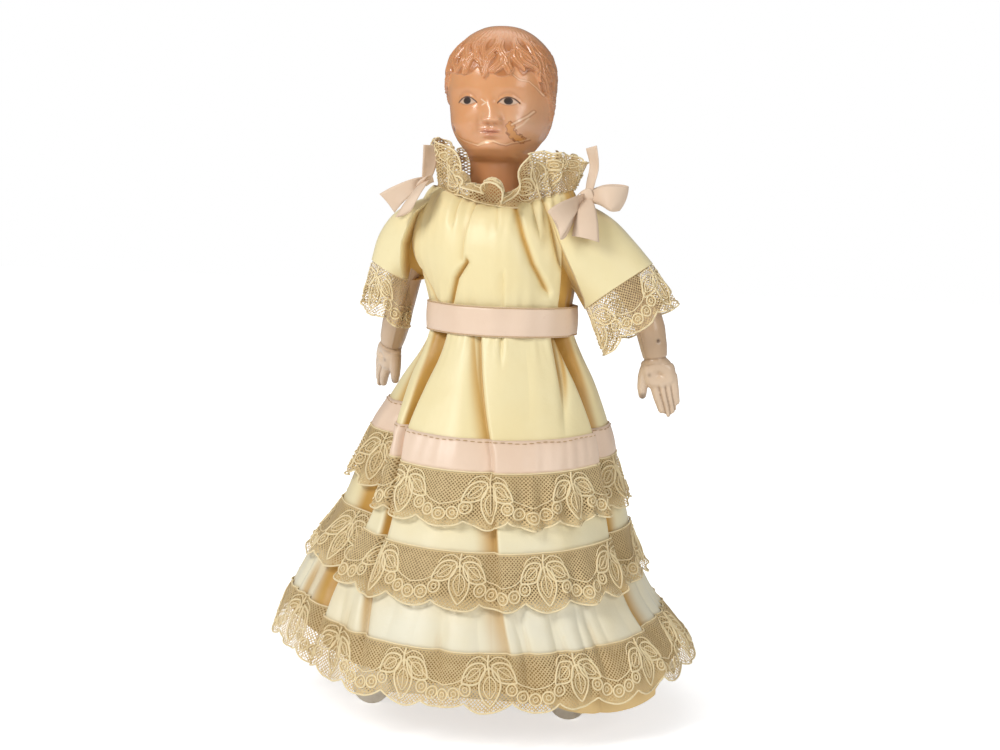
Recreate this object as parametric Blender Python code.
"""Wind-up doll in a lace-trimmed satin dress, standing on a four-wheel clockwork carriage.

Metres, +Z up. The doll faces -Y and the viewer's right is +X. The wheels stand on Z = 0
and the origin is under the middle of the hem. The carriage plates face front and back, so
every axle and arbor of the clockwork runs along Y.
"""

import math

import bmesh
import bpy
from mathutils import Vector

# Clearances
GAP = 0.0003                   # between fixed pieces that touch
RUNNING_GAP = 0.0003           # round a shaft that turns in a hole
SWING_GAP = 0.0006             # between the bodice and a sleeve that swings past it
CLOTH_GAP = 0.0005             # between two layers of cloth

# Carriage plates, platform and pillars
PLATE_LENGTH = 0.104
PLATE_HEIGHT = 0.043
PLATE_THICKNESS = 0.001
PLATE_CORNER = 0.006
PLATE_SPACING = 0.039          # between the inner faces of the two plates
PLATE_DROP = 0.005             # plate below the axle holes
TAB_WIDTH = 0.006
TAB_HEIGHT = 0.006
TAB_OFFSET = 0.025             # tab centre from the middle of the plate
PLATFORM_HALF_WIDTH = 0.040
PLATFORM_HALF_DEPTH = 0.029
PLATFORM_THICKNESS = 0.004
PILLAR_RADIUS = 0.002
PILLAR_TENON_RADIUS = 0.0012
PILLAR_TENON_LENGTH = 0.0018
UPPER_PILLAR_X = 0.045
UPPER_PILLAR_RISE = 0.031      # above the axles
LOWER_PILLAR_LEFT_X = -0.024
LOWER_PILLAR_RIGHT_X = 0.006
LOWER_PILLAR_RISE = -0.0015

# Road wheels and their axles
WHEEL_RADIUS = 0.0085
WHEEL_WIDTH = 0.0032
WHEEL_EDGE = 0.0004
WHEEL_DISH_RADIUS = 0.0031
WHEEL_DISH_DEPTH = 0.0014
WHEEL_SIDES = 24
WHEEL_BASE = 0.088             # between the two axles
WHEEL_STANDOFF = 0.005         # plate's outer face to the wheel's inner face
AXLE_RADIUS = 0.00125
AXLE_STUB = 0.0005             # axle end inside the wheel's dish

# Clockwork train
MODULE = 0.00075
ADDENDUM = 0.00055
DEDENDUM = 0.0009
BACKLASH = 0.0004
GREAT_TEETH = 40
INTERMEDIATE_PINION_TEETH = 10
INTERMEDIATE_WHEEL_TEETH = 28
DRIVE_PINION_TEETH = 10
INTERMEDIATE_DIRECTION = math.radians(135)   # from the drive axle to the intermediate arbor
GREAT_DIRECTION = math.radians(160)          # from the intermediate arbor to the great wheel
GEAR_THICKNESS = 0.0015
PINION_LENGTH = 0.0026
FRONT_TRAIN_INSET = 0.0045     # front plate's inner face to the great wheel
REAR_TRAIN_INSET = 0.0215      # front plate's inner face to the intermediate wheel
ARBOR_RADIUS = 0.0012
ARBOR_END = 0.001              # arbor past the plate's outer face

# Mainspring, ratchet, click and key
WINDING_ARBOR_RADIUS = 0.00175
RATCHET_RADIUS = 0.0065
RATCHET_TOOTH_DEPTH = 0.0013
RATCHET_TEETH = 14
RATCHET_THICKNESS = 0.0013
CLICK_PIVOT_RADIUS = 0.0103    # click pivot from the arbor's axis
CLICK_BOSS_RADIUS = 0.0018
CLICK_NOSE_CLEARANCE = 0.0006  # click's nose off the ratchet's teeth
CLICK_NOSE_WIDTH = 0.0011
CLICK_REACH = math.radians(42)  # from the click's pivot round to its nose
RIVET_RADIUS = 0.0007
RIVET_HEAD_RADIUS = 0.0013
RIVET_HEAD_HEIGHT = 0.0006
CLICK_SPRING_RADIUS = 0.0122
CLICK_SPRING_THICKNESS = 0.0004
CLICK_SPRING_FOOT = 0.0009
SPRING_TURNS = 5.5
SPRING_THICKNESS = 0.0004
SPRING_WIDTH = 0.008
SPRING_INSET = 0.0105          # front plate's inner face to the spring
SPRING_POINTS_PER_TURN = 12
SPRING_POST_OFFSET = 0.0185    # spring's anchor post from the arbor's axis
SPRING_POST_DIRECTION = math.radians(190)
KEY_STANDOFF = 0.003           # back plate to the key's hub
KEY_HUB_RADIUS = 0.0032
KEY_HUB_LENGTH = 0.007
KEY_BOW_RADIUS = 0.0062
KEY_BOW_HOLE_RADIUS = 0.0032
KEY_BOW_THICKNESS = 0.0016
KEY_BOW_OFFSET = 0.0068        # bow centre from the key's axis

# Body under the dress
BODY_X = 0.005                 # the body stands to one side of the hem's middle
POST_RADIUS = 0.004
POST_SOCKET_DEPTH = 0.014
TORSO_HALF_WIDTH = 0.0262
TORSO_HALF_DEPTH = 0.020
TORSO_BELOW_WAIST = 0.012
TORSO_TOP_RADIUS = 0.0125
SHOULDER_BELOW_NECKLINE = 0.0102
NECK_PEG_RADIUS = 0.0035
NECK_PEG_SOCKET = 0.005
NECK_PEG_RISE = 0.017
ARM_WIRE_RADIUS = 0.0009

# Head
NECK_RADIUS = 0.0113
NECK_LENGTH = 0.0205
HEAD_SQUARENESS = 2.15         # power of the head's oval: 2 is an ellipse
FACE_TURN = math.radians(-6)   # the face looks a little to the doll's right
HEAD_FORM = [   # height above the chin, half width, depth in front and behind
    (0.0572, 0.0060, 0.0057, 0.0062),
    (0.0553, 0.0120, 0.0112, 0.0126),
    (0.0519, 0.0178, 0.0164, 0.0188),
    (0.0463, 0.0224, 0.0208, 0.0236),
    (0.0409, 0.0243, 0.0228, 0.0268),
    (0.0349, 0.0245, 0.0236, 0.0284),
    (0.0274, 0.0238, 0.0234, 0.0282),
    (0.0199, 0.0225, 0.0228, 0.0264),
    (0.0133, 0.0201, 0.0224, 0.0236),
    (0.0079, 0.0171, 0.0217, 0.0196),
    (0.0041, 0.0143, 0.0204, 0.0160),
    (0.0021, 0.0131, 0.0189, 0.0142),
    (0.0005, 0.0123, 0.0170, 0.0130),
    (-0.0009, 0.0118, 0.0144, 0.0124),
]
# Rows of points between those of the form, where the face needs them
FACE_ROWS = (0.0374, 0.0330, 0.0300, 0.0255, 0.0236, 0.0218, 0.0175, 0.0158, 0.0144, 0.0118, 0.0100)
FACE_COLUMNS = (0, 4, 8, 13, 19, 26, 34, 43, 53, 64, 76, 90, 106, 123, 141, 160)   # degrees each way
# A mound or, below zero, a hollow of the face: its place to each side and above the chin, its
# spread across and up, and its rise
FACE_MOUNDS = {
    "nose": (0.0, 0.0158, 0.0031, 0.0020, 0.0031),
    "nose_bridge": (0.0, 0.0205, 0.0022, 0.0040, 0.0016),
    "eye_sockets": (0.0094, 0.0240, 0.0054, 0.0036, -0.0015),
    "eyes": (0.0094, 0.0236, 0.0036, 0.0021, 0.0011),
    "lips": (0.0, 0.0105, 0.0055, 0.0030, 0.0014),
    "chin": (0.0, 0.0043, 0.0050, 0.0024, 0.0011),
    "cheeks": (0.0125, 0.0144, 0.0055, 0.0050, 0.0014),
}
HAIR_RISE = 0.0012             # hair above the skin
HAIR_WAVE = 0.0005
HAIR_WAVES = 15
HAIR_EDGE = [   # azimuth either way from the front, height above the chin
    (0, 0.0345), (50, 0.0352), (62, 0.0290), (76, 0.0262), (90, 0.0199), (110, 0.0100), (180, 0.0050),
]
HAIR_EDGE_BLEND = 0.0022       # height over which the hair rises from the skin

# Arms
SHOULDER_OFFSET = 0.0365       # middle of the shoulder from the body's axis
UPPER_ARM_LENGTH = 0.042       # shoulder axis to elbow
FOREARM_LENGTH = 0.0195        # elbow to wrist
HAND_LENGTH = 0.026
SHOULDER_RADIUS = 0.0066
UPPER_ARM_RADIUS = 0.0060
ELBOW_RADIUS = 0.0062
FOREARM_RADIUS = 0.0064
WRIST_RADIUS = 0.0054
HAND_HALF_WIDTH = 0.0078
HAND_HALF_THICKNESS = 0.0039
# The way each part of an arm hangs: outwards, then towards the back.
LEFT_UPPER_ARM = (math.radians(39.5), 0.0)
LEFT_FOREARM = (math.radians(11), 0.0)
RIGHT_UPPER_ARM = (math.radians(17), math.radians(16))
RIGHT_FOREARM = (math.radians(18), math.radians(26))
ARM_SIDES = 12

# Bodice, collar and waist ribbon
BODICE_LENGTH = 0.0495         # waist seam to neckline
BODICE_EASE = 0.0032           # cloth off the torso at the sides
BODICE_PUFF = 0.0068           # cloth off the torso at front and back
CLOTH_THICKNESS = 0.0008
BODICE_FOLD = 0.0007
BODICE_FOLDS = 9
BODICE_SIDES = 36
ARMHOLE_RADIUS = 0.009
NECKLINE_HALF_WIDTH = 0.0215
NECKLINE_HALF_DEPTH = 0.0190
COLLAR_HEIGHT = 0.0130         # at the middle of the front
COLLAR_SIDE_RISE = 0.0130      # more than that at the sides and the back
COLLAR_FLARE = 0.0100
COLLAR_FRILL = 0.0018
COLLAR_FRILLS = 12
COLLAR_SIDES = 48
RIBBON_THICKNESS = 0.0006
WAIST_RIBBON_WIDTH = 0.0118

# Sleeves, cuffs and bows
ARMHOLE_SEAM_RADIUS = 0.0138   # sleeve's inner end
SLEEVE_SIDES = 22
SLEEVE_FOLD = 0.0006
SLEEVE_FOLDS = 5
LEFT_SLEEVE_REACH = 0.0120     # sleeve's mouth from the shoulder, sideways
LEFT_SLEEVE_DROP = 0.0220
LEFT_SLEEVE_RADIUS = 0.0178
LEFT_SLEEVE_SLOPE = math.radians(53)   # the way the mouth faces, below level
RIGHT_SLEEVE_REACH = 0.0122
RIGHT_SLEEVE_DROP = 0.0205
RIGHT_SLEEVE_RADIUS = 0.0150
RIGHT_SLEEVE_SLOPE = math.radians(63)
LEFT_CUFF_HANG = (math.radians(25), 0.0)   # outwards, then towards the back
RIGHT_CUFF_HANG = (math.radians(14), math.radians(11))
CUFF_LENGTH = 0.0195
CUFF_FLARE = 0.0012
BOW_OFFSET = 0.0168            # bow from the shoulder axis
BOW_HALF_SPAN = 0.0100
BOW_LOOP_WIDTH = 0.0080
BOW_TAIL_LENGTH = 0.0180
BOW_TAIL_WIDTH = 0.0050
BOW_THICKNESS = 0.0016
BOW_LEAN = math.radians(42)    # bow's face, above level

# Skirt, its trimmings and the underskirt
HEM_Z = 0.022
SKIRT_LENGTH = 0.1506          # waist seam to hem
HIP_DROP = 0.0226              # waist seam to the fullest of the gathers
HIP_HALF_WIDTH = 0.0395
HIP_HALF_DEPTH = 0.0358
RIBBON_DROP = 0.055            # waist seam to the middle of the skirt ribbon
RIBBON_HALF_WIDTH = 0.0555     # skirt's half width at the ribbon
RIBBON_HALF_DEPTH = 0.0502
RIBBON_SHIFT = 0.001           # skirt's middle, towards the doll's left
KNEE_DROP = 0.0876             # waist seam to where the skirt starts to spread
KNEE_HALF_WIDTH = 0.0658
KNEE_HALF_DEPTH = 0.0618
KNEE_SHIFT = -0.0013
SPREAD_DROP = 0.1146           # waist seam to where the skirt lies furthest to one side
SPREAD_HALF_WIDTH = 0.0785
SPREAD_HALF_DEPTH = 0.0723
SPREAD_SHIFT = -0.005
FLARE_DROP = 0.1306            # waist seam to where the skirt is nearly at its fullest
FLARE_HALF_WIDTH = 0.0872
FLARE_HALF_DEPTH = 0.079
FLARE_SHIFT = -0.0025
HEM_HALF_WIDTH = 0.0930
HEM_HALF_DEPTH = 0.0838
RIGHT_LIFT = 0.012             # rise of the hem at the doll's right
LEFT_LIFT = 0.0065
BACK_LIFT = 0.004
PLEAT_COLUMNS = (-1.5, -0.7, 0.0, 0.7, 1.5)   # points across a pleat, in its spreads
# A pleat: its azimuth at the waist, ribbon and hem, in degrees from the front towards the
# doll's left; its depth there; its spread to the doll's right and left. One panel is plain.
SKIRT_PLEATS = [
    ((-172, -174, -176), (0.0005, 0.0050, 0.0035), 5, 8),
    ((-140, -143, -146), (0.0005, 0.0045, 0.0030), 8, 4),
    ((-118, -110, -112), (0.0005, 0.0050, 0.0030), 9, 4),
    ((-98, -80, -80), (0.0005, 0.0040, 0.0040), 8, 4),
    ((-74, -49, -46), (0.0006, 0.0058, 0.0040), 9, 3.5),
    ((-54, -34, -24), (0.0006, 0.0058, 0.0030), 3.5, 9),
    ((-9, 7, 16), (0.0005, 0.0028, 0.0025), 8, 3.5),
    ((28, 38, 40), (0.0, 0.0, 0.0), 12, 12),
    ((65, 70, 66), (0.0006, 0.0058, 0.0025), 3.5, 9),
    ((97, 101, 104), (0.0005, 0.0045, 0.0030), 5, 8),
    ((126, 129, 131), (0.0005, 0.0050, 0.0035), 4, 9),
    ((157, 155, 158), (0.0005, 0.0040, 0.0030), 8, 5),
]
SKIRT_RIBBON_WIDTH = 0.0128
LACE_WIDTH = 0.0223
UPPER_LACE_DROP = 0.0616       # waist seam to the lace's top edge
MIDDLE_LACE_DROP = 0.0932
HEM_LACE_DROP = 0.1312
LACE_FLARE = 0.0026            # lace's lower edge off the skirt
UNDERSKIRT_INSET = 0.0026
UNDERSKIRT_TOP_DROP = 0.0200
UNDERSKIRT_BELOW_HEM = 0.0025

# Places worked out from the sizes above
WHEEL_FLAT = math.cos(math.pi / WHEEL_SIDES)
AXLE_Z = WHEEL_RADIUS * WHEEL_FLAT
PLATE_BOTTOM = AXLE_Z - PLATE_DROP
PLATE_TOP = PLATE_BOTTOM + PLATE_HEIGHT
PLATE_INNER = PLATE_SPACING / 2
PLATE_OUTER = PLATE_INNER + PLATE_THICKNESS
WHEEL_INNER = PLATE_OUTER + WHEEL_STANDOFF
WHEEL_OUTER = WHEEL_INNER + WHEEL_WIDTH
PLATFORM_BOTTOM = PLATE_TOP + GAP
PLATFORM_TOP = PLATFORM_BOTTOM + PLATFORM_THICKNESS
WAIST_Z = HEM_Z + SKIRT_LENGTH
NECKLINE_Z = WAIST_Z + BODICE_LENGTH
SHOULDER_Z = NECKLINE_Z - SHOULDER_BELOW_NECKLINE
TORSO_TOP = NECKLINE_Z - CLOTH_THICKNESS
TORSO_BOTTOM = WAIST_Z - TORSO_BELOW_WAIST
NECK_BOTTOM = TORSO_TOP + GAP
CHIN_Z = NECK_BOTTOM + NECK_LENGTH
BODICE_HALF_WIDTH = TORSO_HALF_WIDTH + BODICE_EASE + CLOTH_THICKNESS
BODICE_HALF_DEPTH = TORSO_HALF_DEPTH + BODICE_PUFF + CLOTH_THICKNESS
SLEEVE_PLANE = BODICE_HALF_WIDTH + BODICE_FOLD + SWING_GAP

DRIVE_AXIS = (WHEEL_BASE / 2, AXLE_Z)
IDLER_AXIS = (-WHEEL_BASE / 2, AXLE_Z)


def along(start, direction, distance):
    """The (x, z) point at a distance and direction from another."""
    return (
        start[0] + distance * math.cos(direction),
        start[1] + distance * math.sin(direction),
    )


def centre_distance(first_teeth, second_teeth):
    """Distance between the axes of two meshed gears."""
    return MODULE * (first_teeth + second_teeth) / 2


INTERMEDIATE_AXIS = along(
    DRIVE_AXIS,
    INTERMEDIATE_DIRECTION,
    centre_distance(INTERMEDIATE_WHEEL_TEETH, DRIVE_PINION_TEETH),
)
GREAT_AXIS = along(
    INTERMEDIATE_AXIS,
    GREAT_DIRECTION,
    centre_distance(GREAT_TEETH, INTERMEDIATE_PINION_TEETH),
)
SPRING_POST = along(GREAT_AXIS, SPRING_POST_DIRECTION, SPRING_POST_OFFSET)
PILLARS = {
    "upper_left_pillar": (-UPPER_PILLAR_X, AXLE_Z + UPPER_PILLAR_RISE),
    "upper_right_pillar": (UPPER_PILLAR_X, AXLE_Z + UPPER_PILLAR_RISE),
    "lower_left_pillar": (LOWER_PILLAR_LEFT_X, AXLE_Z + LOWER_PILLAR_RISE),
    "lower_right_pillar": (LOWER_PILLAR_RIGHT_X, AXLE_Z + LOWER_PILLAR_RISE),
    "spring_post": SPRING_POST,
}


def clear_scene():
    for old in list(bpy.data.objects):
        bpy.data.objects.remove(old)


def make_material(name, colour, roughness, metallic=0.0):
    material = bpy.data.materials.new(name)
    material.use_nodes = True
    shader = material.node_tree.nodes["Principled BSDF"]
    shader.inputs["Base Color"].default_value = (*colour, 1.0)
    shader.inputs["Roughness"].default_value = roughness
    shader.inputs["Metallic"].default_value = metallic
    return material


def make_empty(name, location):
    empty = bpy.data.objects.new(name, None)
    empty.location = location
    bpy.context.scene.collection.objects.link(empty)
    return empty


def make_object(name, mesh_data, material, parent, smooth_angle=35):
    """An object from (points, faces), with its faces turned outwards and round parts smooth."""
    points, faces = mesh_data
    mesh = bpy.data.meshes.new(name)
    mesh.from_pydata([tuple(point) for point in points], [], faces)
    shape = bmesh.new()
    shape.from_mesh(mesh)
    bmesh.ops.recalc_face_normals(shape, faces=shape.faces[:])
    shape.to_mesh(mesh)
    shape.free()
    mesh.shade_smooth()
    mesh.set_sharp_from_angle(angle=math.radians(smooth_angle))
    mesh.materials.append(material)
    thing = bpy.data.objects.new(name, mesh)
    thing.parent = parent
    bpy.context.scene.collection.objects.link(thing)
    return thing


def cut(thing, mesh_data, parent):
    """Cut a hidden shape out of an object."""
    cutter = make_object(thing.name + "_cut", mesh_data, thing.data.materials[0], parent)
    cutter.hide_render = True
    cutter.display_type = "WIRE"
    modifier = thing.modifiers.new("cut", "BOOLEAN")
    modifier.operation = "DIFFERENCE"
    modifier.solver = "EXACT"
    modifier.object = cutter


def ring_faces(first, second, count):
    """Quads between two rings of points that start at the given indices."""
    return [
        (first + i, first + (i + 1) % count, second + (i + 1) % count, second + i)
        for i in range(count)
    ]


def lofted(rings):
    """A solid through a row of rings, closed by a flat face at each end."""
    count = len(rings[0])
    points = [point for ring in rings for point in ring]
    faces = [tuple(range(count)), tuple(range(len(points) - count, len(points)))]
    for index in range(len(rings) - 1):
        faces += ring_faces(index * count, (index + 1) * count, count)
    return points, faces


def looped(rings):
    """A tube-shaped solid: the rings run down its outside and up its inside."""
    count = len(rings[0])
    points = [point for ring in rings for point in ring]
    faces = []
    for index in range(len(rings)):
        following = (index + 1) % len(rings)
        faces += ring_faces(index * count, following * count, count)
    return points, faces


def circle(radius, sides, centre=(0.0, 0.0)):
    """Points round a circle, with a flat side facing straight down."""
    step = 2 * math.pi / sides
    return [along(centre, (i + 0.5) * step, radius) for i in range(sides)]


def turned(profile, sides, hollow=False):
    """A solid turned about Y from (radius, y) points; a hollow one has a bore."""
    rings = [[(x, y, z) for x, z in circle(radius, sides)] for radius, y in profile]
    return looped(rings) if hollow else lofted(rings)


def upright(profile, sides, centre_x):
    """A solid turned about a vertical axis from (radius, z) points."""
    rings = []
    for radius, z in profile:
        rings.append([(x, y, z) for x, y in circle(radius, sides, (centre_x, 0.0))])
    return lofted(rings)


def sideways(radius, low, high, sides):
    """A round bar along X."""
    return lofted([[(x, y, z) for y, z in circle(radius, sides)] for x in (low, high)])


def moved(mesh_data, offset):
    """A shape shifted by an offset."""
    points, faces = mesh_data
    return [Vector(point) + Vector(offset) for point in points], faces


def flat_plate(outline, holes, low, high):
    """A plate between two Y levels, from an outline of (x, z) points with holes."""
    shape = bmesh.new()
    for loop in [outline] + holes:
        corners = [shape.verts.new((x, low, z)) for x, z in loop]
        for start, end in zip(corners, corners[1:] + corners[:1]):
            shape.edges.new((start, end))
    bmesh.ops.triangle_fill(shape, use_beauty=True, edges=shape.edges[:])
    shape.verts.index_update()
    lower = [tuple(vert.co) for vert in shape.verts]
    fill = [tuple(vert.index for vert in face.verts) for face in shape.faces]
    shape.free()
    count = len(lower)
    points = lower + [(x, high, z) for x, y, z in lower]
    faces = fill + [tuple(index + count for index in face) for face in fill]
    start = 0
    for loop in [outline] + holes:
        for corner in range(len(loop)):
            here = start + corner
            following = start + (corner + 1) % len(loop)
            faces.append((here, following, following + count, here + count))
        start += len(loop)
    return points, faces


def lying_plate(outline, holes, low, high):
    """A plate between two Z levels, from an outline of (x, y) points with holes."""
    points, faces = flat_plate(outline, holes, low, high)
    return [(x, z, y) for x, y, z in points], faces


def rectangle(width, height, centre):
    x, z = centre
    return [
        (x - width / 2, z - height / 2),
        (x + width / 2, z - height / 2),
        (x + width / 2, z + height / 2),
        (x - width / 2, z + height / 2),
    ]


def ellipse(half_width, half_depth, sides, centre_x=0.0):
    step = 2 * math.pi / sides
    return [
        (centre_x + half_width * math.cos(i * step), half_depth * math.sin(i * step))
        for i in range(sides)
    ]


def gear_outline(teeth, phase):
    """Outline of a spur gear with a tooth at the given direction, thinned for backlash."""
    pitch_radius = MODULE * teeth / 2
    step = 2 * math.pi / teeth
    half_tooth = (step - BACKLASH / pitch_radius) / 4
    root_half = half_tooth * 1.25
    tip_half = half_tooth * 0.6
    outline = []
    for tooth in range(teeth):
        middle = phase + tooth * step
        outline.append(along((0, 0), middle - root_half, pitch_radius - DEDENDUM))
        outline.append(along((0, 0), middle - tip_half, pitch_radius + ADDENDUM))
        outline.append(along((0, 0), middle + tip_half, pitch_radius + ADDENDUM))
        outline.append(along((0, 0), middle + root_half, pitch_radius - DEDENDUM))
    return outline


def on_axis(axis):
    """World position of an axis that runs along Y."""
    return (axis[0], 0.0, axis[1])


def plate_outline():
    """Outline of a carriage plate: a bar with round lower corners and two tabs on top."""
    half = PLATE_LENGTH / 2
    outline = []
    for side, start in ((-1, 180), (1, 270)):
        centre = (side * (half - PLATE_CORNER), PLATE_BOTTOM + PLATE_CORNER)
        for step in range(5):
            outline.append(along(centre, math.radians(start + step * 22.5), PLATE_CORNER))
    outline.append((half, PLATE_TOP))
    for tab in (TAB_OFFSET, -TAB_OFFSET):
        outline.append((tab + TAB_WIDTH / 2, PLATE_TOP))
        outline.append((tab + TAB_WIDTH / 2, PLATE_TOP + TAB_HEIGHT))
        outline.append((tab - TAB_WIDTH / 2, PLATE_TOP + TAB_HEIGHT))
        outline.append((tab - TAB_WIDTH / 2, PLATE_TOP))
    outline.append((-half, PLATE_TOP))
    return outline


def build_frame(root, steel, wood):
    """The two plates, the pillars between them, the platform and the post."""
    round_sides = 12
    shafts = {
        DRIVE_AXIS: AXLE_RADIUS,
        IDLER_AXIS: AXLE_RADIUS,
        INTERMEDIATE_AXIS: ARBOR_RADIUS,
        GREAT_AXIS: WINDING_ARBOR_RADIUS,
    }
    holes = [circle(radius + RUNNING_GAP, round_sides, axis) for axis, radius in shafts.items()]
    holes += [circle(PILLAR_TENON_RADIUS + GAP, round_sides, place) for place in PILLARS.values()]
    for name, low in (("front_plate", -PLATE_OUTER), ("back_plate", PLATE_INNER)):
        make_object(name, flat_plate(plate_outline(), holes, low, low + PLATE_THICKNESS), steel, root)

    shoulder = PLATE_INNER - GAP
    tip = PLATE_INNER + PILLAR_TENON_LENGTH
    profile = [
        (PILLAR_TENON_RADIUS, -tip),
        (PILLAR_TENON_RADIUS, -shoulder),
        (PILLAR_RADIUS, -shoulder),
        (PILLAR_RADIUS, shoulder),
        (PILLAR_TENON_RADIUS, shoulder),
        (PILLAR_TENON_RADIUS, tip),
    ]
    for name, place in PILLARS.items():
        pillar = make_object(name, turned(profile, round_sides), steel, root)
        pillar.location = on_axis(place)

    plate_middle = PLATE_INNER + PLATE_THICKNESS / 2
    slots = [
        rectangle(TAB_WIDTH + 2 * GAP, PLATE_THICKNESS + 2 * GAP, (x, y))
        for x in (-TAB_OFFSET, TAB_OFFSET)
        for y in (-plate_middle, plate_middle)
    ]
    post_hole = circle(POST_RADIUS + GAP, 20, (BODY_X, 0.0))
    outline = ellipse(PLATFORM_HALF_WIDTH, PLATFORM_HALF_DEPTH, 40)
    platform = lying_plate(outline, slots + [post_hole], PLATFORM_BOTTOM, PLATFORM_TOP)
    make_object("body_platform", platform, wood, root)
    top = TORSO_BOTTOM + POST_SOCKET_DEPTH
    post = upright([(POST_RADIUS, PLATFORM_BOTTOM), (POST_RADIUS, top)], 20, BODY_X)
    make_object("body_post", post, wood, root)


def build_axle(name, wheel_names, axle, steel):
    """An axle with a road wheel near each end."""
    end = WHEEL_OUTER - WHEEL_DISH_DEPTH + AXLE_STUB
    profile = [(AXLE_RADIUS, -end), (AXLE_RADIUS, end)]
    make_object(name, turned(profile, 16), steel, axle)
    bore = AXLE_RADIUS + GAP
    dish = WHEEL_OUTER - WHEEL_DISH_DEPTH
    front_profile = [
        (bore, -WHEEL_INNER),
        (WHEEL_RADIUS, -WHEEL_INNER),
        (WHEEL_RADIUS, -WHEEL_OUTER + WHEEL_EDGE),
        (WHEEL_RADIUS - WHEEL_EDGE, -WHEEL_OUTER),
        (WHEEL_DISH_RADIUS, -WHEEL_OUTER),
        (WHEEL_DISH_RADIUS - WHEEL_EDGE, -dish),
        (bore, -dish),
    ]
    back_profile = [(radius, -y) for radius, y in front_profile]
    for wheel_name, wheel_profile in zip(wheel_names, (front_profile, back_profile)):
        make_object(wheel_name, turned(wheel_profile, WHEEL_SIDES, hollow=True), steel, axle)


def build_train(great, intermediate, drive, brass, steel):
    """The great wheel, the intermediate arbor with its gears, and the drive axle's pinion."""
    great_low = -PLATE_INNER + FRONT_TRAIN_INSET
    rear_low = -PLATE_INNER + REAR_TRAIN_INSET
    pinion_overlap = (PINION_LENGTH - GEAR_THICKNESS) / 2
    half_step = math.pi / INTERMEDIATE_PINION_TEETH
    toward_great = GREAT_DIRECTION
    toward_drive = INTERMEDIATE_DIRECTION + math.pi

    def gear(name, teeth, phase, bore, low, length, material, parent):
        hole = circle(bore + GAP, 16)
        blank = flat_plate(gear_outline(teeth, phase), [hole], low, low + length)
        return make_object(name, blank, material, parent, 20)

    wheel = gear(
        "great_wheel",
        GREAT_TEETH,
        toward_great + math.pi,
        WINDING_ARBOR_RADIUS,
        great_low,
        GEAR_THICKNESS,
        brass,
        great,
    )
    hole_radius = RIVET_RADIUS + GAP
    rivet_hole = [
        (hole_radius, great_low - GEAR_THICKNESS),
        (hole_radius, great_low + 2 * GEAR_THICKNESS),
    ]
    cut(wheel, moved(turned(rivet_hole, 12), (CLICK_PIVOT_RADIUS, 0.0, 0.0)), great)
    gear(
        "intermediate_pinion",
        INTERMEDIATE_PINION_TEETH,
        toward_great + half_step,
        ARBOR_RADIUS,
        great_low - pinion_overlap,
        PINION_LENGTH,
        steel,
        intermediate,
    )
    gear(
        "intermediate_wheel",
        INTERMEDIATE_WHEEL_TEETH,
        toward_drive,
        ARBOR_RADIUS,
        rear_low,
        GEAR_THICKNESS,
        brass,
        intermediate,
    )
    gear(
        "drive_pinion",
        DRIVE_PINION_TEETH,
        toward_drive + math.pi + math.pi / DRIVE_PINION_TEETH,
        AXLE_RADIUS,
        rear_low - pinion_overlap,
        PINION_LENGTH,
        steel,
        drive,
    )
    end = PLATE_OUTER + ARBOR_END
    arbor = [(ARBOR_RADIUS, -end), (ARBOR_RADIUS, end)]
    make_object("intermediate_arbor", turned(arbor, 16), steel, intermediate)


def build_click(great, click, steel):
    """The click on the great wheel, its rivet and its spring."""
    great_low = -PLATE_INNER + FRONT_TRAIN_INSET
    face = great_low + GEAR_THICKNESS
    low = face + GAP
    high = low + RATCHET_THICKNESS
    nose_radius = RATCHET_RADIUS + CLICK_NOSE_CLEARANCE
    inner = along((-CLICK_PIVOT_RADIUS, 0.0), CLICK_REACH, nose_radius)
    outer = along((-CLICK_PIVOT_RADIUS, 0.0), CLICK_REACH, nose_radius + CLICK_NOSE_WIDTH)
    toward_nose = math.atan2(outer[1], outer[0])
    outline = [inner]
    for step in range(9):
        direction = toward_nose + math.radians(90 + step * 22.5)
        outline.append(along((0, 0), direction, CLICK_BOSS_RADIUS))
    outline.append(outer)
    hole = circle(RIVET_RADIUS + RUNNING_GAP, 12)
    make_object("click", flat_plate(outline, [hole], low, high), steel, click)

    back = high + GAP
    rivet = [
        (RIVET_RADIUS, great_low),
        (RIVET_RADIUS, back),
        (RIVET_HEAD_RADIUS, back),
        (RIVET_HEAD_RADIUS, back + RIVET_HEAD_HEIGHT),
    ]
    pin = make_object("click_rivet", turned(rivet, 12), steel, great)
    pin.location = (CLICK_PIVOT_RADIUS, 0.0, 0.0)

    inside = CLICK_SPRING_RADIUS
    outside = CLICK_SPRING_RADIUS + CLICK_SPRING_THICKNESS
    sweep = [CLICK_REACH * 0.75 + math.radians(6 * step) for step in range(9)]
    strip = [along((0, 0), angle, inside) for angle in sweep]
    strip.append(along((0, 0), sweep[-1], inside - CLICK_SPRING_FOOT))
    foot_angle = sweep[-1] + 2 * CLICK_SPRING_FOOT / inside
    strip.append(along((0, 0), foot_angle, inside - CLICK_SPRING_FOOT))
    strip.append(along((0, 0), foot_angle, outside))
    strip += [along((0, 0), angle, outside) for angle in reversed(sweep)]
    make_object("click_spring", flat_plate(strip, [], low, high), steel, great)


def ratchet_outline():
    step = 2 * math.pi / RATCHET_TEETH
    outline = []
    for tooth in range(RATCHET_TEETH):
        outline.append(along((0, 0), tooth * step, RATCHET_RADIUS))
        outline.append(along((0, 0), (tooth + 0.1) * step, RATCHET_RADIUS - RATCHET_TOOTH_DEPTH))
    return outline


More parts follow.
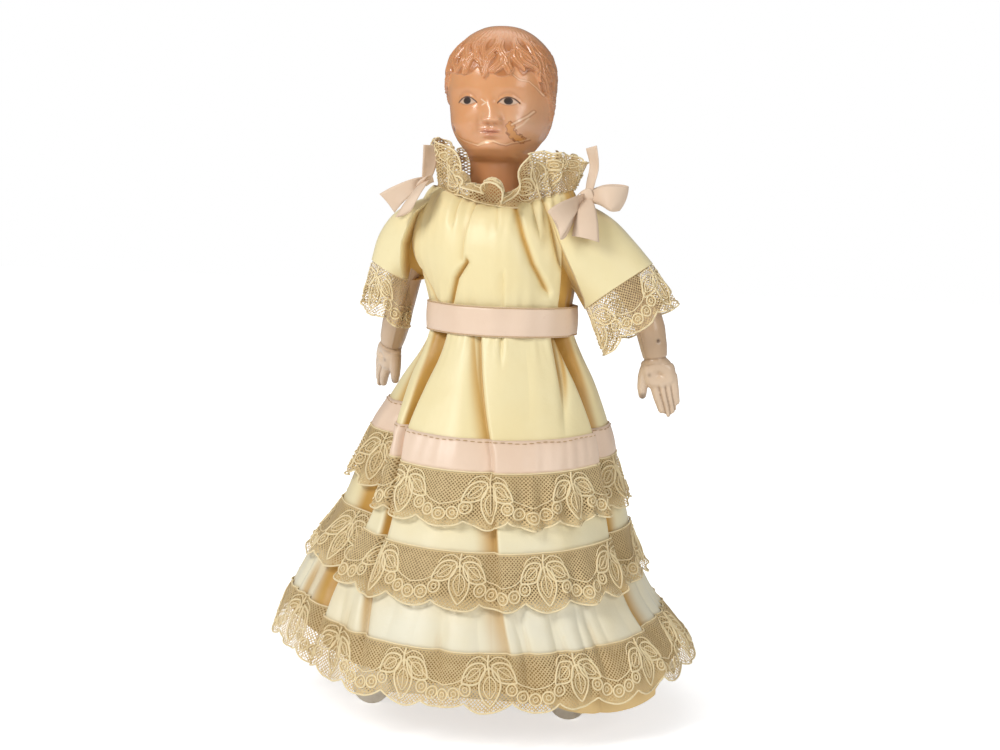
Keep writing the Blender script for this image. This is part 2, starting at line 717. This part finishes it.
def build_winding(winding, root, steel, blue_steel):
    """The winding arbor with its ratchet and key, and the mainspring round it."""
    great_high = -PLATE_INNER + FRONT_TRAIN_INSET + GEAR_THICKNESS
    key_low = PLATE_OUTER + KEY_STANDOFF
    key_high = key_low + KEY_HUB_LENGTH
    arbor = [(WINDING_ARBOR_RADIUS, -PLATE_OUTER - ARBOR_END), (WINDING_ARBOR_RADIUS, key_high)]
    make_object("winding_arbor", turned(arbor, 16), steel, winding)
    low = great_high + GAP
    hole = circle(WINDING_ARBOR_RADIUS + GAP, 16)
    ratchet = flat_plate(ratchet_outline(), [hole], low, low + RATCHET_THICKNESS)
    make_object("ratchet_wheel", ratchet, steel, winding, 20)

    hub_bore = WINDING_ARBOR_RADIUS + GAP
    hub = [
        (hub_bore, key_low),
        (KEY_HUB_RADIUS, key_low),
        (KEY_HUB_RADIUS, key_high),
        (hub_bore, key_high),
    ]
    key = make_object("winding_key", turned(hub, 20, hollow=True), steel, winding)
    bow_low = key_high - KEY_BOW_THICKNESS * 2
    for side in (-1, 1):
        centre = (side * (KEY_HUB_RADIUS - WINDING_ARBOR_RADIUS + KEY_BOW_OFFSET), 0.0)
        bow = flat_plate(
            circle(KEY_BOW_RADIUS, 24, centre),
            [circle(KEY_BOW_HOLE_RADIUS, 16, centre)],
            bow_low,
            bow_low + KEY_BOW_THICKNESS,
        )
        wing = make_object(f"key_bow_{side}", bow, steel, winding)
        wing.hide_render = True
        wing.display_type = "WIRE"
        union = key.modifiers.new("bow", "BOOLEAN")
        union.operation = "UNION"
        union.solver = "EXACT"
        union.object = wing
    bore = [(hub_bore, key_low - KEY_STANDOFF / 2), (hub_bore, key_high + KEY_STANDOFF)]
    cut(key, turned(bore, 20), winding)

    start_radius = WINDING_ARBOR_RADIUS + SPRING_THICKNESS + GAP
    end_radius = SPRING_POST_OFFSET - PILLAR_RADIUS - SPRING_THICKNESS - GAP
    count = int(SPRING_TURNS * SPRING_POINTS_PER_TURN)
    spring_low = -PLATE_INNER + SPRING_INSET
    rings = []
    for index in range(count + 1):
        share = index / count
        direction = SPRING_POST_DIRECTION - 2 * math.pi * SPRING_TURNS * (1 - share)
        radius = start_radius + share * (end_radius - start_radius)
        inner = along((0, 0), direction, radius - SPRING_THICKNESS / 2)
        outer = along((0, 0), direction, radius + SPRING_THICKNESS / 2)
        rings.append(
            [
                (inner[0], spring_low, inner[1]),
                (outer[0], spring_low, outer[1]),
                (outer[0], spring_low + SPRING_WIDTH, outer[1]),
                (inner[0], spring_low + SPRING_WIDTH, inner[1]),
            ]
        )
    spring = make_object("mainspring", lofted(rings), blue_steel, root)
    spring.location = on_axis(GREAT_AXIS)
    least_gap = (end_radius - start_radius) / SPRING_TURNS - SPRING_THICKNESS
    print(f"mainspring turns are {least_gap * 1000:.2f} mm apart")


def body_ring(half_width, half_depth, z, sides, shift_y=0.0):
    """A level oval ring round the body's axis."""
    return [(x, y + shift_y, z) for x, y in ellipse(half_width, half_depth, sides, BODY_X)]


def build_body(root, carton, steel):
    """The hidden torso, the wire that carries the arms and the neck peg."""
    shoulder_slope = (TORSO_TOP - SHOULDER_Z) * 0.45
    rings = [
        body_ring(TORSO_HALF_WIDTH * 0.86, TORSO_HALF_DEPTH * 0.9, TORSO_BOTTOM, 24),
        body_ring(TORSO_HALF_WIDTH * 0.92, TORSO_HALF_DEPTH * 0.94, WAIST_Z, 24),
        body_ring(TORSO_HALF_WIDTH, TORSO_HALF_DEPTH, SHOULDER_Z - ARMHOLE_RADIUS, 24),
        body_ring(TORSO_HALF_WIDTH, TORSO_HALF_DEPTH * 0.92, SHOULDER_Z, 24),
        body_ring(TORSO_HALF_WIDTH * 0.72, TORSO_HALF_DEPTH * 0.78, SHOULDER_Z + shoulder_slope, 24),
        body_ring(TORSO_TOP_RADIUS, TORSO_TOP_RADIUS, TORSO_TOP, 24),
    ]
    torso = make_object("torso", lofted(rings), carton, root)
    socket_radius = POST_RADIUS + GAP
    socket_top = TORSO_BOTTOM + POST_SOCKET_DEPTH + GAP
    post_socket = [(socket_radius, TORSO_BOTTOM - GAP), (socket_radius, socket_top)]
    cut(torso, upright(post_socket, 20, BODY_X), root)
    peg_low = TORSO_TOP - NECK_PEG_SOCKET
    peg_high = NECK_BOTTOM + NECK_PEG_RISE
    peg_hole = NECK_PEG_RADIUS + GAP
    peg_socket = [(peg_hole, peg_low - GAP), (peg_hole, TORSO_TOP + GAP)]
    cut(torso, upright(peg_socket, 20, BODY_X), root)
    peg = upright([(NECK_PEG_RADIUS, peg_low), (NECK_PEG_RADIUS, peg_high)], 20, BODY_X)
    make_object("neck_peg", peg, steel, root)

    reach = SHOULDER_OFFSET + SHOULDER_RADIUS * 0.6
    wire = make_object("arm_wire", sideways(ARM_WIRE_RADIUS, -reach, reach, 10), steel, root)
    wire.location = (BODY_X, 0.0, SHOULDER_Z)
    wire_bore = sideways(ARM_WIRE_RADIUS + RUNNING_GAP, -SLEEVE_PLANE, SLEEVE_PLANE, 10)
    cut(torso, moved(wire_bore, wire.location), root)


def between_rows(table, place):
    """Values of a table at a place between its rows; the first column rises or falls."""
    for first, second in zip(table, table[1:]):
        low, high = sorted((first[0], second[0]))
        if low <= place <= high:
            share = (place - first[0]) / (second[0] - first[0])
            return [a + share * (b - a) for a, b in zip(first[1:], second[1:])]


def head_relief(azimuth, across, height):
    """How far the face and the hair stand out from the head's oval."""
    relief = 0.0
    if math.cos(azimuth) > 0:
        for side, up, spread_across, spread_up, rise in FACE_MOUNDS.values():
            away = (abs(across) - side) / spread_across
            above = (height - up) / spread_up
            relief += rise * math.exp(-away * away - above * above)
    edge = between_rows(HAIR_EDGE, abs(math.degrees(azimuth)))[0]
    cover = min(1.0, max(0.0, (height - edge) / HAIR_EDGE_BLEND))
    wave = HAIR_WAVE * math.cos(HAIR_WAVES * azimuth)
    return relief + cover * (HAIR_RISE + wave)


def head_ring(height, azimuths):
    """A ring of the head at a height above the chin."""
    half_width, front, back = between_rows(HEAD_FORM, height)
    ring = []
    for azimuth in azimuths:
        depth = front if math.cos(azimuth) > 0 else back
        wide = abs(math.sin(azimuth)) / half_width
        deep = abs(math.cos(azimuth)) / depth
        reach = (wide ** HEAD_SQUARENESS + deep ** HEAD_SQUARENESS) ** (-1 / HEAD_SQUARENESS)
        crown = min(1.0, half_width / HEAD_FORM[2][1])
        reach += crown * head_relief(azimuth, reach * math.sin(azimuth), height)
        heading = azimuth + FACE_TURN
        x = BODY_X + reach * math.sin(heading)
        ring.append((x, -reach * math.cos(heading), CHIN_Z + height))
    return ring


def build_head(head, celluloid):
    """The hollow-necked head with its face and hair, and a bore for the neck peg."""
    left_half = [math.radians(column) for column in FACE_COLUMNS]
    right_half = [-azimuth for azimuth in left_half[:0:-1]]
    azimuths = right_half + left_half + [math.pi]
    heights = sorted([row[0] for row in HEAD_FORM] + list(FACE_ROWS), reverse=True)
    rings = [head_ring(height, azimuths) for height in heights]

    def round_ring(radius, z):
        return [
            (BODY_X + radius * math.sin(turn), -radius * math.cos(turn), z)
            for turn in [azimuth + FACE_TURN for azimuth in azimuths]
        ]

    bore = NECK_PEG_RADIUS + RUNNING_GAP
    rings.append(round_ring(NECK_RADIUS, CHIN_Z - NECK_LENGTH * 0.18))
    rings.append(round_ring(NECK_RADIUS, NECK_BOTTOM))
    rings.append(round_ring(bore, NECK_BOTTOM))
    rings.append(round_ring(bore, NECK_BOTTOM + NECK_PEG_RISE + RUNNING_GAP))
    make_object("head", moved(lofted(rings), -head.location), celluloid, head, 60)


def hanging(side, splay, back):
    """The way a limb or a cuff hangs on one side of the body."""
    level = math.cos(splay)
    return Vector((side * math.sin(splay), level * math.sin(back), -level * math.cos(back)))


def build_arm(name, side, upper, fore, hand_edge_on, arm, composition):
    """One arm, bent at the elbow, with its hand, hanging from the shoulder wire."""
    first, second = hanging(side, *upper), hanging(side, *fore)
    elbow = first * UPPER_ARM_LENGTH
    wrist = elbow + second * FOREARM_LENGTH
    hand = second * HAND_LENGTH
    wide, thin = HAND_HALF_WIDTH, HAND_HALF_THICKNESS
    stations = [   # middle, way along, half width, half thickness
        (first * -SHOULDER_RADIUS, first, SHOULDER_RADIUS * 0.35, SHOULDER_RADIUS * 0.35),
        (first * -SHOULDER_RADIUS * 0.7, first, SHOULDER_RADIUS * 0.75, SHOULDER_RADIUS * 0.75),
        (Vector((0.0, 0.0, 0.0)), first, SHOULDER_RADIUS, SHOULDER_RADIUS),
        (elbow * 0.6, first, UPPER_ARM_RADIUS, UPPER_ARM_RADIUS),
        (elbow, (first + second).normalized(), ELBOW_RADIUS, ELBOW_RADIUS),
        (elbow.lerp(wrist, 0.55), second, FOREARM_RADIUS, FOREARM_RADIUS),
        (wrist, second, WRIST_RADIUS, WRIST_RADIUS),
        (wrist + hand * 0.3, second, wide * 0.95, thin),
        (wrist + hand * 0.55, second, wide, thin * 0.95),
        (wrist + hand * 0.85, second, wide * 0.7, thin * 0.7),
        (wrist + hand, second, wide * 0.35, thin * 0.4),
    ]
    rings = []
    for middle, down, half_wide, half_thin in stations:
        if hand_edge_on:
            half_wide, half_thin = half_thin, half_wide
        across = Vector((-side * down.z, 0.0, side * down.x))
        across = (across - down * across.dot(down)).normalized()
        forward = down.cross(across)
        ring = []
        for x, y in ellipse(half_wide, half_thin, ARM_SIDES):
            ring.append(middle + across * x + forward * y)
        rings.append(ring)
    limb = make_object(name, lofted(rings), composition, arm, 60)
    cut(limb, sideways(ARM_WIRE_RADIUS + RUNNING_GAP, -SHOULDER_OFFSET, SHOULDER_OFFSET, 10), arm)


def sleeve_ring(side, centre, slope, radius, fold, sides):
    """A folded ring of cloth whose plane faces outwards and down at a slope."""
    across = Vector((side * math.sin(slope), 0.0, math.cos(slope)))
    ring = []
    for step in range(sides):
        angle = 2 * math.pi * step / sides
        reach = radius + fold * math.cos(SLEEVE_FOLDS * angle)
        sideways_part = across * (reach * math.cos(angle))
        ring.append(centre + sideways_part + Vector((0.0, reach * math.sin(angle), 0.0)))
    return ring


def build_sleeve(label, side, reach, drop, radius, slope, hang, arm, satin, lace):
    """A short flared sleeve and its lace cuff, measured from the shoulder."""
    start = Vector((side * (SLEEVE_PLANE - SHOULDER_OFFSET), 0.0, 0.0))
    end = Vector((side * reach, -drop * hang.y / hang.z, -drop))
    bend = Vector((side * reach * 0.35, 0.0, -drop * 0.15))
    outside, inside = [], []
    rows = 4
    for row in range(rows + 1):
        share = row / rows
        centre = start.lerp(bend, share).lerp(bend.lerp(end, share), share)
        ring_radius = ARMHOLE_SEAM_RADIUS + share * (radius - ARMHOLE_SEAM_RADIUS)
        fold = SLEEVE_FOLD * share
        outside.append(sleeve_ring(side, centre, slope * share, ring_radius, fold, SLEEVE_SIDES))
        inner_radius = ring_radius - CLOTH_THICKNESS
        inside.append(sleeve_ring(side, centre, slope * share, inner_radius, fold, SLEEVE_SIDES))
    make_object("sleeve_" + label, looped(outside + inside[::-1]), satin, arm, 60)

    facing = Vector((side * math.cos(slope), 0.0, -math.sin(slope)))
    top = end + facing * CLOTH_GAP
    bottom = top + hang * CUFF_LENGTH
    low_radius = radius + CUFF_FLARE
    low_fold = 2 * SLEEVE_FOLD
    cuff = [
        sleeve_ring(side, top, slope, radius, SLEEVE_FOLD, SLEEVE_SIDES),
        sleeve_ring(side, bottom, slope, low_radius, low_fold, SLEEVE_SIDES),
        sleeve_ring(side, bottom, slope, low_radius - RIBBON_THICKNESS, low_fold, SLEEVE_SIDES),
        sleeve_ring(side, top, slope, radius - RIBBON_THICKNESS, SLEEVE_FOLD, SLEEVE_SIDES),
    ]
    make_object("cuff_lace_" + label, looped(cuff), lace, arm, 60)


def bow_outline():
    """A tied bow seen from the front: two loops, a knot and two hanging tails."""
    outline = []
    knot = BOW_LOOP_WIDTH * 0.22
    swell = BOW_HALF_SPAN * 0.45
    for side in (1, -1):
        loop = []
        for step in range(7):
            angle = math.radians(-75 + step * 25)
            across = BOW_HALF_SPAN - swell + swell * math.cos(angle)
            loop.append((side * across, BOW_LOOP_WIDTH / 2 * math.sin(angle)))
        tail_low = -BOW_TAIL_LENGTH
        tail = [
            (side * BOW_TAIL_WIDTH * 0.12, -knot * 2),
            (side * BOW_TAIL_WIDTH * 0.3, tail_low),
            (side * (BOW_TAIL_WIDTH * 1.3), tail_low),
            (side * BOW_TAIL_WIDTH * 0.4, -knot),
        ]
        half = tail + loop + [(side * knot, knot)]
        outline += half if side == 1 else half[::-1]
    return outline


def build_bow(label, side, arm, ribbon):
    """A ribbon bow sewn to the head of a sleeve, leaning back with the shoulder."""
    facing = Vector((0.0, -math.cos(BOW_LEAN), math.sin(BOW_LEAN)))
    upward = Vector((0.0, math.sin(BOW_LEAN), math.cos(BOW_LEAN)))
    middle = SLEEVE_PLANE - SHOULDER_OFFSET + BOW_HALF_SPAN + CLOTH_GAP
    points, faces = flat_plate(bow_outline(), [], 0.0, BOW_THICKNESS)
    placed = [
        Vector((side * middle + x, 0.0, 0.0)) + facing * (BOW_OFFSET + y) + upward * z
        for x, y, z in points
    ]
    make_object("shoulder_bow_" + label, (placed, faces), ribbon, arm)


def bodice_ring(half_width, half_depth, z, fold, inset):
    """A folded level ring of the bodice."""
    ring = []
    for step in range(BODICE_SIDES):
        angle = 2 * math.pi * step / BODICE_SIDES
        swell = fold * math.cos(BODICE_FOLDS * angle) - inset
        x = BODY_X + (half_width + swell) * math.cos(angle)
        ring.append((x, (half_depth + swell) * math.sin(angle), z))
    return ring


def build_bodice(root, satin, lace, ribbon):
    """The gathered bodice, the standing lace collar and the waist ribbon."""
    wide, deep = BODICE_HALF_WIDTH, BODICE_HALF_DEPTH
    seam = WAIST_Z + CLOTH_GAP / 2
    shoulder_top = (SHOULDER_Z + NECKLINE_Z) / 2
    shoulder_wide = (wide + NECKLINE_HALF_WIDTH) / 2
    shoulder_deep = (deep + NECKLINE_HALF_DEPTH) / 2
    levels = [
        (wide, deep * 0.98, seam, BODICE_FOLD),
        (wide, deep, WAIST_Z + WAIST_RIBBON_WIDTH, BODICE_FOLD),
        (wide, deep, SHOULDER_Z - ARMHOLE_RADIUS, BODICE_FOLD),
        (wide, deep * 0.95, SHOULDER_Z, BODICE_FOLD),
        (shoulder_wide, shoulder_deep, shoulder_top, BODICE_FOLD),
        (NECKLINE_HALF_WIDTH, NECKLINE_HALF_DEPTH, NECKLINE_Z, BODICE_FOLD),
    ]
    outside = [bodice_ring(*level, 0.0) for level in levels]
    inside = [bodice_ring(*level, CLOTH_THICKNESS) for level in levels]
    bodice = make_object("bodice", looped(outside + inside[::-1]), satin, root, 60)
    armholes = sideways(ARMHOLE_RADIUS, -2 * wide, 2 * wide, 16)
    cut(bodice, moved(armholes, (BODY_X, 0.0, SHOULDER_Z)), root)

    def collar_ring(share, inset):
        ring = []
        for step in range(COLLAR_SIDES):
            angle = 2 * math.pi * step / COLLAR_SIDES
            wave = COLLAR_FRILL * math.cos(COLLAR_FRILLS * angle)
            frill = share * (wave + COLLAR_FLARE) - inset
            frontness = max(0.0, -math.sin(angle))
            rise = share * (COLLAR_HEIGHT + COLLAR_SIDE_RISE * (1 - frontness ** 2))
            x = BODY_X + (NECKLINE_HALF_WIDTH + frill) * math.cos(angle)
            y = (NECKLINE_HALF_DEPTH + frill) * math.sin(angle)
            ring.append((x, y, NECKLINE_Z + CLOTH_GAP + rise))
        return ring

    shares = (0.0, 0.5, 1.0)
    outside = [collar_ring(share, 0.0) for share in shares]
    inside = [collar_ring(share, RIBBON_THICKNESS) for share in shares]
    make_object("collar_lace", looped(outside + inside[::-1]), lace, root, 60)

    off = BODICE_FOLD + CLOTH_GAP
    low = WAIST_Z - WAIST_RIBBON_WIDTH / 2
    high = WAIST_Z + WAIST_RIBBON_WIDTH / 2
    belt = [
        body_ring(wide + off + RIBBON_THICKNESS, deep + off + RIBBON_THICKNESS, high, BODICE_SIDES),
        body_ring(wide + off + RIBBON_THICKNESS, deep + off + RIBBON_THICKNESS, low, BODICE_SIDES),
        body_ring(wide + off, deep + off, low, BODICE_SIDES),
        body_ring(wide + off, deep + off, high, BODICE_SIDES),
    ]
    make_object("waist_ribbon", looped(belt), ribbon, root, 60)


SKIRT_STATIONS = [   # drop from the waist seam, half width, half depth, middle
    (0.0, BODICE_HALF_WIDTH, BODICE_HALF_DEPTH, BODY_X),
    (WAIST_RIBBON_WIDTH / 2, BODICE_HALF_WIDTH, BODICE_HALF_DEPTH, BODY_X),
    (HIP_DROP, HIP_HALF_WIDTH, HIP_HALF_DEPTH, BODY_X),
    (RIBBON_DROP, RIBBON_HALF_WIDTH, RIBBON_HALF_DEPTH, RIBBON_SHIFT),
    (KNEE_DROP, KNEE_HALF_WIDTH, KNEE_HALF_DEPTH, KNEE_SHIFT),
    (SPREAD_DROP, SPREAD_HALF_WIDTH, SPREAD_HALF_DEPTH, SPREAD_SHIFT),
    (FLARE_DROP, FLARE_HALF_WIDTH, FLARE_HALF_DEPTH, FLARE_SHIFT),
    (SKIRT_LENGTH, HEM_HALF_WIDTH, HEM_HALF_DEPTH, 0.0),
]


def down_skirt(values, drop):
    """A value at a drop, from its values at the waist, the ribbon and the hem."""
    if drop < RIBBON_DROP:
        return values[0] + (values[1] - values[0]) * drop / RIBBON_DROP
    share = (drop - RIBBON_DROP) / (SKIRT_LENGTH - RIBBON_DROP)
    return values[1] + (values[2] - values[1]) * share


def skirt_columns(drop):
    """Azimuths of the points round the skirt, closest together at the pleats."""
    columns = []
    for azimuths, _, right_spread, left_spread in SKIRT_PLEATS:
        middle = down_skirt(azimuths, drop)
        for step in PLEAT_COLUMNS:
            spread = right_spread if step < 0 else left_spread
            columns.append(math.radians(middle + step * spread))
    return columns


def pleat_depth(azimuth, drop):
    """How far the pleats take the cloth in at an azimuth."""
    depth = 0.0
    for azimuths, depths, right_spread, left_spread in SKIRT_PLEATS:
        turn = math.degrees(azimuth) - down_skirt(azimuths, drop)
        turn = (turn + 180) % 360 - 180
        spread = right_spread if turn < 0 else left_spread
        depth += down_skirt(depths, drop) * math.exp(-abs(turn / spread) ** 1.5)
    return depth


def skirt_lift(azimuth, drop):
    """How far the cloth has ridden up at an azimuth, most at the hem."""
    side_lift = LEFT_LIFT if math.sin(azimuth) > 0 else RIGHT_LIFT
    lift = side_lift * abs(math.sin(azimuth)) ** 2.2
    lift += BACK_LIFT * max(0.0, -math.cos(azimuth)) ** 2
    return lift * (drop / SKIRT_LENGTH) ** 0.6


def station_ring(station, off):
    """A ring of the skirt at one of its stations, held off its outer face."""
    drop, half_width, half_depth, middle = station
    ring = []
    for azimuth in skirt_columns(drop):
        reach = off - pleat_depth(azimuth, drop)
        x = middle + (half_width + reach) * math.sin(azimuth)
        y = -(half_depth + reach) * math.cos(azimuth)
        ring.append(Vector((x, y, WAIST_Z - drop + skirt_lift(azimuth, drop))))
    return ring


def skirt_ring(drop, off):
    """A ring of the skirt at any drop, on the straight line between two stations."""
    for upper, lower in zip(SKIRT_STATIONS, SKIRT_STATIONS[1:]):
        if drop <= lower[0] or lower is SKIRT_STATIONS[-1]:
            share = (drop - upper[0]) / (lower[0] - upper[0])
            pairs = zip(station_ring(upper, off), station_ring(lower, off))
            return [high.lerp(low, share) for high, low in pairs]


def skirt_layer(name, rows, thickness, material, root):
    """A layer of the skirt through (drop, distance off the skirt's face) rows, top to bottom."""
    outside = [skirt_ring(drop, off + thickness) for drop, off in rows]
    inside = [skirt_ring(drop, off) for drop, off in rows]
    make_object(name, looped(outside + inside[::-1]), material, root, 60)


def between(top, bottom):
    """Drops of the skirt's own stations strictly between two drops."""
    return [station[0] for station in SKIRT_STATIONS if top < station[0] < bottom]


def build_skirt(root, satin, lace, ribbon, cotton):
    """The skirt, its ribbon, its three lace flounces and the underskirt."""
    top = CLOTH_GAP / 2
    drops = [top] + between(top, SKIRT_LENGTH) + [SKIRT_LENGTH]
    rows = [(drop, -CLOTH_THICKNESS) for drop in drops]
    skirt_layer("skirt", rows, CLOTH_THICKNESS, satin, root)

    ribbon_top = RIBBON_DROP - SKIRT_RIBBON_WIDTH / 2
    ribbon_low = ribbon_top + SKIRT_RIBBON_WIDTH
    drops = [ribbon_top] + between(ribbon_top, ribbon_low) + [ribbon_low]
    ribbon_off = 2 * CLOTH_GAP + RIBBON_THICKNESS
    skirt_layer("skirt_ribbon", [(drop, ribbon_off) for drop in drops], RIBBON_THICKNESS, ribbon, root)

    flounces = {
        "lace_flounce_upper": UPPER_LACE_DROP,
        "lace_flounce_middle": MIDDLE_LACE_DROP,
        "lace_flounce_hem": HEM_LACE_DROP,
    }
    for name, lace_top in flounces.items():
        lace_low = lace_top + LACE_WIDTH
        rows = []
        for drop in [lace_top] + between(lace_top, lace_low) + [lace_low]:
            flare = LACE_FLARE * (drop - lace_top) / LACE_WIDTH
            rows.append((drop, CLOTH_GAP + flare))
        skirt_layer(name, rows, RIBBON_THICKNESS, lace, root)

    under_low = SKIRT_LENGTH + UNDERSKIRT_BELOW_HEM
    drops = [UNDERSKIRT_TOP_DROP] + between(UNDERSKIRT_TOP_DROP, under_low) + [under_low]
    under_off = -CLOTH_THICKNESS - UNDERSKIRT_INSET
    skirt_layer("underskirt", [(drop, under_off) for drop in drops], RIBBON_THICKNESS, cotton, root)


def main():
    clear_scene()
    steel = make_material("tinned_steel", (0.48, 0.47, 0.44), 0.38, 0.9)
    blue_steel = make_material("spring_steel", (0.16, 0.19, 0.26), 0.3, 0.9)
    brass = make_material("brass", (0.62, 0.46, 0.17), 0.35, 0.9)
    wood = make_material("wood", (0.45, 0.30, 0.17), 0.7)
    carton = make_material("carton", (0.50, 0.42, 0.32), 0.85)
    celluloid = make_material("celluloid", (0.80, 0.40, 0.22), 0.25)
    composition = make_material("composition", (0.62, 0.50, 0.44), 0.4)
    satin = make_material("satin", (0.87, 0.75, 0.44), 0.45)
    lace = make_material("lace", (0.56, 0.42, 0.26), 0.85)
    ribbon = make_material("ribbon", (0.84, 0.66, 0.55), 0.45)
    cotton = make_material("cotton", (0.82, 0.74, 0.56), 0.85)

    root = make_empty("doll", (0.0, 0.0, 0.0))
    great = make_empty("great_wheel_axis", on_axis(GREAT_AXIS))
    winding = make_empty("winding_axis", on_axis(GREAT_AXIS))
    intermediate = make_empty("intermediate_axis", on_axis(INTERMEDIATE_AXIS))
    drive = make_empty("drive_axis", on_axis(DRIVE_AXIS))
    idler = make_empty("idler_axis", on_axis(IDLER_AXIS))
    click = make_empty("click_axis", (CLICK_PIVOT_RADIUS, 0.0, 0.0))
    head = make_empty("head_axis", (BODY_X, 0.0, NECK_BOTTOM))
    left_arm = make_empty("left_arm_axis", (BODY_X + SHOULDER_OFFSET, 0.0, SHOULDER_Z))
    right_arm = make_empty("right_arm_axis", (BODY_X - SHOULDER_OFFSET, 0.0, SHOULDER_Z))
    for empty in (great, winding, intermediate, drive, idler, head, left_arm, right_arm):
        empty.parent = root
    click.parent = great

    build_frame(root, steel, wood)
    build_axle("drive_axle", ("drive_wheel_front", "drive_wheel_back"), drive, steel)
    build_axle("idler_axle", ("idler_wheel_front", "idler_wheel_back"), idler, steel)
    build_train(great, intermediate, drive, brass, steel)
    build_click(great, click, steel)
    build_winding(winding, root, steel, blue_steel)

    build_body(root, carton, steel)
    build_head(head, celluloid)
    build_arm("arm_left", 1, LEFT_UPPER_ARM, LEFT_FOREARM, False, left_arm, composition)
    build_arm("arm_right", -1, RIGHT_UPPER_ARM, RIGHT_FOREARM, True, right_arm, composition)

    build_bodice(root, satin, lace, ribbon)
    build_skirt(root, satin, lace, ribbon, cotton)
    build_sleeve(
        "left", 1, LEFT_SLEEVE_REACH, LEFT_SLEEVE_DROP, LEFT_SLEEVE_RADIUS, LEFT_SLEEVE_SLOPE,
        hanging(1, *LEFT_CUFF_HANG), left_arm, satin, lace,
    )
    build_sleeve(
        "right", -1, RIGHT_SLEEVE_REACH, RIGHT_SLEEVE_DROP, RIGHT_SLEEVE_RADIUS, RIGHT_SLEEVE_SLOPE,
        hanging(-1, *RIGHT_CUFF_HANG), right_arm, satin, lace,
    )
    build_bow("left", 1, left_arm, ribbon)
    build_bow("right", -1, right_arm, ribbon)


main()
